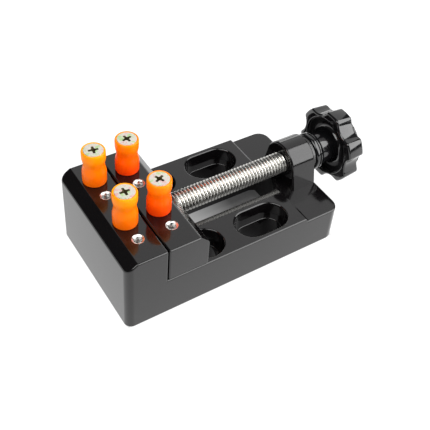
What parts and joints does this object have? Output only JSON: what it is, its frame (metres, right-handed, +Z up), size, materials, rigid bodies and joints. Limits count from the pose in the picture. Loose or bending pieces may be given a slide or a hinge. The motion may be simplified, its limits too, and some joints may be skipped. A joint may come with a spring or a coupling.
{
  "type": "circuit board vise",
  "caption": "Small screw-driven vise with a fixed and a sliding jaw, waisted screwed posts that hold a board by its edges, and a star knob on a threaded spindle.",
  "frame": {"origin": "centre of the bounding box in plan, on the surface the base stands on", "axes": "+X from the fixed jaw to the knob along the spindle, +Y to the far side, +Z up"},
  "size_m": [0.1208, 0.057, 0.0493],
  "materials": {
    "black_gloss_paint": "smooth gloss black paint on a metal casting",
    "black_gloss_plastic": "polished black moulded plastic",
    "orange_post": "satin orange plastic",
    "yellow_zinc_plate": "yellow-passivated zinc plate with a faint pink and green sheen",
    "bright_zinc_plate": "bright zinc plate",
    "plain_steel": "plain turned steel"
  },
  "bodies": {
    "base": {"base_casting": "black_gloss_paint"},
    "moving_jaw": {"moving_jaw": "black_gloss_paint", "keeper_plate": "plain_steel", "keeper_screw_front": "bright_zinc_plate", "keeper_screw_rear": "bright_zinc_plate", "keeper_washer_front": "bright_zinc_plate", "keeper_washer_rear": "bright_zinc_plate", "retaining_pin_near": "plain_steel", "retaining_pin_far": "plain_steel"},
    "spindle": {"lead_screw": "bright_zinc_plate", "thrust_washer": "plain_steel", "star_knob": "black_gloss_plastic", "knob_nut": "bright_zinc_plate"},
    "post_fixed_far": {"post_sleeve_fixed_far": "orange_post"},
    "post_screw_fixed_far": {"post_screw_fixed_far": "yellow_zinc_plate"},
    "post_fixed_near": {"post_sleeve_fixed_near": "orange_post"},
    "post_screw_fixed_near": {"post_screw_fixed_near": "yellow_zinc_plate"},
    "post_moving_far": {"post_sleeve_moving_far": "orange_post"},
    "post_screw_moving_far": {"post_screw_moving_far": "yellow_zinc_plate"},
    "post_moving_near": {"post_sleeve_moving_near": "orange_post"},
    "post_screw_moving_near": {"post_screw_moving_near": "yellow_zinc_plate"}
  },
  "joints": [
    {"name": "jaw_slide", "type": "slide", "parent": "base", "child": "moving_jaw", "axis": [1, 0, 0], "range_m": [0, 0.05]},
    {"name": "spindle_turn", "type": "hinge", "parent": "moving_jaw", "child": "spindle", "pos_m": [-0.00045, 0, 0.0242], "axis": [1, 0, 0], "range_deg": [-2, 12002]},
    {"name": "post_lift_fixed_far", "type": "slide", "parent": "base", "child": "post_fixed_far", "axis": [0, 0, 1], "range_m": [0, 0.01]},
    {"name": "post_turn_fixed_far", "type": "hinge", "parent": "post_fixed_far", "child": "post_screw_fixed_far", "pos_m": [-0.05025, 0.0176, 0.034], "axis": [0, 0, 1], "range_deg": [-2, 5145]},
    {"name": "post_lift_fixed_near", "type": "slide", "parent": "base", "child": "post_fixed_near", "axis": [0, 0, 1], "range_m": [0, 0.01]},
    {"name": "post_turn_fixed_near", "type": "hinge", "parent": "post_fixed_near", "child": "post_screw_fixed_near", "pos_m": [-0.05025, -0.0078, 0.034], "axis": [0, 0, 1], "range_deg": [-2, 5145]},
    {"name": "post_lift_moving_far", "type": "slide", "parent": "moving_jaw", "child": "post_moving_far", "axis": [0, 0, 1], "range_m": [0, 0.01]},
    {"name": "post_turn_moving_far", "type": "hinge", "parent": "post_moving_far", "child": "post_screw_moving_far", "pos_m": [-0.03625, 0.0176, 0.034], "axis": [0, 0, 1], "range_deg": [-2, 5145]},
    {"name": "post_lift_moving_near", "type": "slide", "parent": "moving_jaw", "child": "post_moving_near", "axis": [0, 0, 1], "range_m": [0, 0.01]},
    {"name": "post_turn_moving_near", "type": "hinge", "parent": "post_moving_near", "child": "post_screw_moving_near", "pos_m": [-0.03625, -0.0078, 0.034], "axis": [0, 0, 1], "range_deg": [-2, 5145]}
  ],
  "couplings": [
    {"joint": "spindle_turn", "follows": "jaw_slide", "rad_per_m": 4188.8},
    {"joint": "post_turn_fixed_far", "follows": "post_lift_fixed_far", "rad_per_m": 8976},
    {"joint": "post_turn_fixed_near", "follows": "post_lift_fixed_near", "rad_per_m": 8976},
    {"joint": "post_turn_moving_far", "follows": "post_lift_moving_far", "rad_per_m": 8976},
    {"joint": "post_turn_moving_near", "follows": "post_lift_moving_near", "rad_per_m": 8976}
  ]
}
